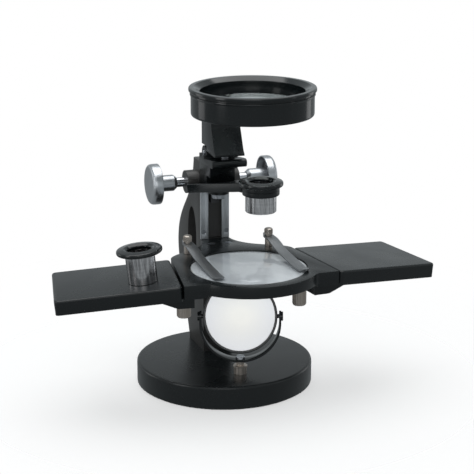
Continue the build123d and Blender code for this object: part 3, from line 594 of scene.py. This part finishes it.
for step in range(bullLook["glassSteps"] + 1):
    share = step / bullLook["glassSteps"]
    crown.append((lensRadius * share, lensHalf - (lensHalf - bullLook["glassEdge"]) * share ** 2))
spun("bullGlass", crown + [(radius, -height) for radius, height in reversed(crown)],
     middle("bull_glass"), upward, clearLens, "bull_glass", steps=160, closed=False)
print("large lens ready")


# knurling: ribs stand on a circle about Z, which is moved into place
def ribTree():
    tree = bpy.data.node_groups.new("knurlRibs", "GeometryNodeTree")
    tree.interface.new_socket("Geometry", in_out="OUTPUT", socket_type="NodeSocketGeometry")
    inputs = {"Count": "Int", "Radius": "Float", "Rib Radius": "Float", "Length": "Float",
              "Place": "Vector", "Metal": "Material"}
    for name, kind in inputs.items():
        tree.interface.new_socket(name, in_out="INPUT", socket_type="NodeSocket" + kind)
    add = tree.nodes.new
    link = tree.links.new
    given = add("NodeGroupInput").outputs
    circle = add("GeometryNodeMeshCircle")
    link(given["Count"], circle.inputs["Vertices"])
    link(given["Radius"], circle.inputs["Radius"])
    rib = add("GeometryNodeMeshCylinder")
    rib.inputs["Vertices"].default_value = 6
    link(given["Rib Radius"], rib.inputs["Radius"])
    link(given["Length"], rib.inputs["Depth"])
    stand = add("GeometryNodeInstanceOnPoints")
    link(circle.outputs["Mesh"], stand.inputs["Points"])
    link(rib.outputs["Mesh"], stand.inputs["Instance"])
    real = add("GeometryNodeRealizeInstances")
    link(stand.outputs["Instances"], real.inputs["Geometry"])
    move = add("GeometryNodeTransform")
    link(real.outputs["Geometry"], move.inputs["Geometry"])
    link(given["Place"], move.inputs["Translation"])
    paint = add("GeometryNodeSetMaterial")
    link(move.outputs["Geometry"], paint.inputs["Geometry"])
    link(given["Metal"], paint.inputs["Material"])
    link(paint.outputs["Geometry"], add("NodeGroupOutput").inputs["Geometry"])
    return tree


knurl = ribTree()


# one ring of ribs as a plain mesh that rides on a body
def ribs(name, finish, body, sizes):
    holder = bpy.data.objects.new(name + "Maker", bpy.data.meshes.new(name + "Maker"))
    bpy.context.scene.collection.objects.link(holder)
    maker = holder.modifiers.new("knurl", "NODES")
    maker.node_group = knurl
    values = {**sizes, "Metal": finish.material}
    for socket in knurl.interface.items_tree:
        if socket.in_out == "INPUT":
            maker[socket.identifier] = values[socket.name]
    bpy.context.view_layer.update()
    mesh = bpy.data.meshes.new_from_object(holder.evaluated_get(bpy.context.evaluated_depsgraph_get()))
    bpy.data.objects.remove(holder)
    mesh.name = name
    piece = bpy.data.objects.new(name, mesh)
    bpy.context.scene.collection.objects.link(piece)
    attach(piece, body)


thumbLook = {"ribs": 26, "rib": 0.42, "sunk": 0.25, "smooth": 2.2, "proud": 0.2, "neck": 3.6,
             "neckLow": 0.8, "neckHigh": 2.0, "shank": 2.4, "edge": 0.8, "grip": 12.4}
postLook = {"ribs": 18, "rib": 0.34, "radius": 2.8, "length": 3.6, "below": 2.5}
for name in ("left", "right"):
    low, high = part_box("thumbscrew_" + name)
    axisPoint = middle("thumbscrew_" + name)
    axisPoint.z = 0
    bottom, top = low.z / mm, high.z / mm
    head = (high.x - low.x) / 2 / mm
    grip = bottom + thumbLook["grip"]
    drum, neck, shank = head - thumbLook["proud"], thumbLook["neck"], thumbLook["shank"]
    neckTop = grip + thumbLook["neckHigh"]
    nickel = turned("thumbNickel" + name.capitalize(), "nickel", nickelLook, axisPoint, upward)
    outline = [(0, bottom), (drum, bottom, thumbLook["edge"]), (drum, grip, 0.6),
               (neck, grip + thumbLook["neckLow"]), (neck, neckTop), (shank, neckTop), (shank, top),
               (0, top)]
    spun(camel("thumbscrew_" + name), outline, axisPoint, upward, nickel, "thumbscrew_" + name, steps=96,
         closed=False)
    ribs("thumbRibs" + name.capitalize(), nickel, bodyOf["thumbscrew_" + name], {
        "Count": thumbLook["ribs"], "Radius": (head - thumbLook["sunk"]) * mm,
        "Rib Radius": thumbLook["rib"] * mm, "Length": (thumbLook["grip"] - thumbLook["smooth"]) * mm,
        "Place": (axisPoint.x, axisPoint.y, (bottom + grip) / 2 * mm)})
    keep(steel, "thumb_washer_" + name)

    axisPoint = middle("clip_post_" + name)
    axisPoint.z = 0
    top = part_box("clip_post_" + name)[1].z / mm
    postNickel = turned("postNickel" + name.capitalize(), "nickel", nickelLook, axisPoint, upward)
    keep(postNickel, "clip_post_" + name)
    ribs("postRibs" + name.capitalize(), postNickel, bodyOf["clip_post_" + name], {
        "Count": postLook["ribs"], "Radius": postLook["radius"] * mm,
        "Rib Radius": postLook["rib"] * mm, "Length": postLook["length"] * mm,
        "Place": (axisPoint.x, axisPoint.y, (top - postLook["below"]) * mm)})
    softened("clip_blade_" + name, edgeLook["blade"], bladeSteel, segments=2)
print("clips and thumbscrews ready")

for name in ("left", "right"):
    softened("rest_board_" + name, edgeLook["casting"], enamel)
    softened("rest_tongue_" + name, edgeLook["block"], enamel)
    keep(steel, "rest_screws_" + name)

# heights are up from the foot, square to the hand rest
spareLook = {"barrel": 10.3, "bore": 9.0, "seat": 20.2, "flange": 13.0, "cup": 16.0, "cupHigh": 24.4,
             "cupBore": 9.6, "mouth": 5.6, "glassBore": 6.2, "shelf": 3.0, "step": 8.0, "footDepth": 0.05}
spareUp = Vector(jointOf["spare_lens_lift"]["axis"]).normalized()
points = [vertex.co for vertex in nodes["spare_barrel"].data.vertices]
lowest = min(point.dot(spareUp) for point in points)
foot = [point for point in points if point.dot(spareUp) < lowest + spareLook["footDepth"] * mm]
spareFoot = Vector([(min(side) + max(side)) / 2 for side in zip(*foot)])
spareChrome = turned("spareChrome", "chrome", barrelLook, spareFoot, spareUp)
spun("spareBarrel", [(spareLook["mouth"], 0), (spareLook["barrel"], 0, 0.4),
                     (spareLook["barrel"], spareLook["seat"]), (spareLook["bore"], spareLook["seat"]),
                     (spareLook["bore"], spareLook["step"]), (spareLook["glassBore"], spareLook["step"]),
                     (spareLook["glassBore"], spareLook["shelf"]),
                     (spareLook["mouth"], spareLook["shelf"])],
     spareFoot, spareUp, spareChrome, "spare_barrel", steps=128)
eyecup("spareEyecup", spareLook["seat"], spareLook["cupHigh"], spareLook["cupBore"], spareLook["flange"],
       spareLook["cup"], spareFoot, spareUp, "spare_eyecup")
print("hand rests ready")

# sky: (height of a direction, brightness), from straight down to straight up
studio = {"floor": 2.4, "shadow": 0.42, "fadeFrom": 0.10, "fadeTo": 0.36, "lens": 127.64,
          "cameraFrom": (-0.3709, -1.1247, 0.4467), "cameraTo": (0.0090, -0.0031, 0.1107),
          "sky": [(-1.0, 0.28), (-0.35, 0.32), (-0.08, 0.28), (0.12, 0.66), (0.19, 0.60), (0.32, 0.38),
                  (1.0, 0.55)],
          "tint": (0.90, 0.97, 1.0)}

# the floor fades out round the object, into the white backdrop
floorMesh = bpy.data.meshes.new("floor")
side = studio["floor"]
corners = [(-side, -side, 0), (side, -side, 0), (side, side, 0), (-side, side, 0)]
floorMesh.from_pydata(corners, [], [(0, 1, 2, 3)])
floor = bpy.data.objects.new("floor", floorMesh)
bpy.context.scene.collection.objects.link(floor)
paper = Finish("paper", None)
x, y, z = paper.parts(paper.place())
fade = paper.ramp(paper.reach(x, y), studio["fadeFrom"], studio["fadeTo"])
paper.set(colour=(0.9, 0.9, 0.9), rough=0.9, specular=0.0, alpha=(1.0 - fade) * studio["shadow"])
dress(floor, paper)
floor.visible_glossy = False


def aimed(name, data, place, aim):
    holder = bpy.data.objects.new(name, data)
    bpy.context.scene.collection.objects.link(holder)
    holder.location = place
    holder.rotation_mode = "QUATERNION"
    holder.rotation_quaternion = (Vector(aim) - Vector(place)).to_track_quat("-Z", "Y")
    return holder


# a rectangular lamp of a given brightness
def softbox(name, place, aim, size, brightness):
    lamp = bpy.data.lights.new(name, "AREA")
    lamp.shape = "RECTANGLE"
    lamp.size, lamp.size_y = size
    lamp.energy = brightness * math.pi * size[0] * size[1]
    aimed(name, lamp, place, aim)


softbox("topBox", (0.0, 0.05, 1.35), (0, 0, 0.1), (1.7, 1.4), 2.1)
softbox("leftBox", (-1.1, -0.30, 0.40), (0, 0, 0.12), (0.34, 0.9), 2.0)
softbox("rightBox", (1.05, -0.70, 0.40), (0, 0, 0.12), (0.16, 0.9), 0.45)
softbox("leftBackBox", (-1.15, 0.85, 0.25), (0, 0, 0.15), (0.5, 0.9), 0.9)
softbox("rightBackBox", (1.25, 0.35, 0.25), (0, 0, 0.15), (0.4, 0.9), 0.8)
softbox("frontBox", (-0.50, -1.52, 0.56), (0, 0, 0.06), (0.85, 0.7), 1.1)

world = bpy.data.worlds.new("studio")
bpy.context.scene.world = world
world.use_nodes = True
add = world.node_tree.nodes.new
link = world.node_tree.links.new
split = add("ShaderNodeSeparateXYZ")
link(add("ShaderNodeTexCoord").outputs["Generated"], split.inputs[0])

# brightness by height: a light table below, a bright band above the horizon, a soft ceiling
lift = add("ShaderNodeMapRange")
link(split.outputs["Z"], lift.inputs[0])
lift.inputs[1].default_value = -1.0
heights = add("ShaderNodeValToRGB")
link(lift.outputs[0], heights.inputs[0])
stops = heights.color_ramp.elements
while len(stops) < len(studio["sky"]):
    stops.new(0.5)
for stop, (height, level) in zip(stops, studio["sky"]):
    stop.position = (height + 1) / 2
    stop.color = (*(level * part for part in studio["tint"]), 1)
sky = world.node_tree.nodes["Background"]
link(heights.outputs[0], sky.inputs["Color"])

# plain white where the camera looks straight at it
white = add("ShaderNodeBackground")
white.inputs["Color"].default_value = (1, 1, 1, 1)
pick = add("ShaderNodeMixShader")
link(add("ShaderNodeLightPath").outputs["Is Camera Ray"], pick.inputs[0])
link(sky.outputs[0], pick.inputs[1])
link(white.outputs[0], pick.inputs[2])
link(pick.outputs[0], world.node_tree.nodes["World Output"].inputs["Surface"])

bpy.context.scene.view_settings.view_transform = "Standard"
eye = bpy.data.cameras.new("camera")
eye.lens = studio["lens"]
eye.clip_end = 20
bpy.context.scene.camera = aimed("camera", eye, studio["cameraFrom"], studio["cameraTo"])
print("studio ready")
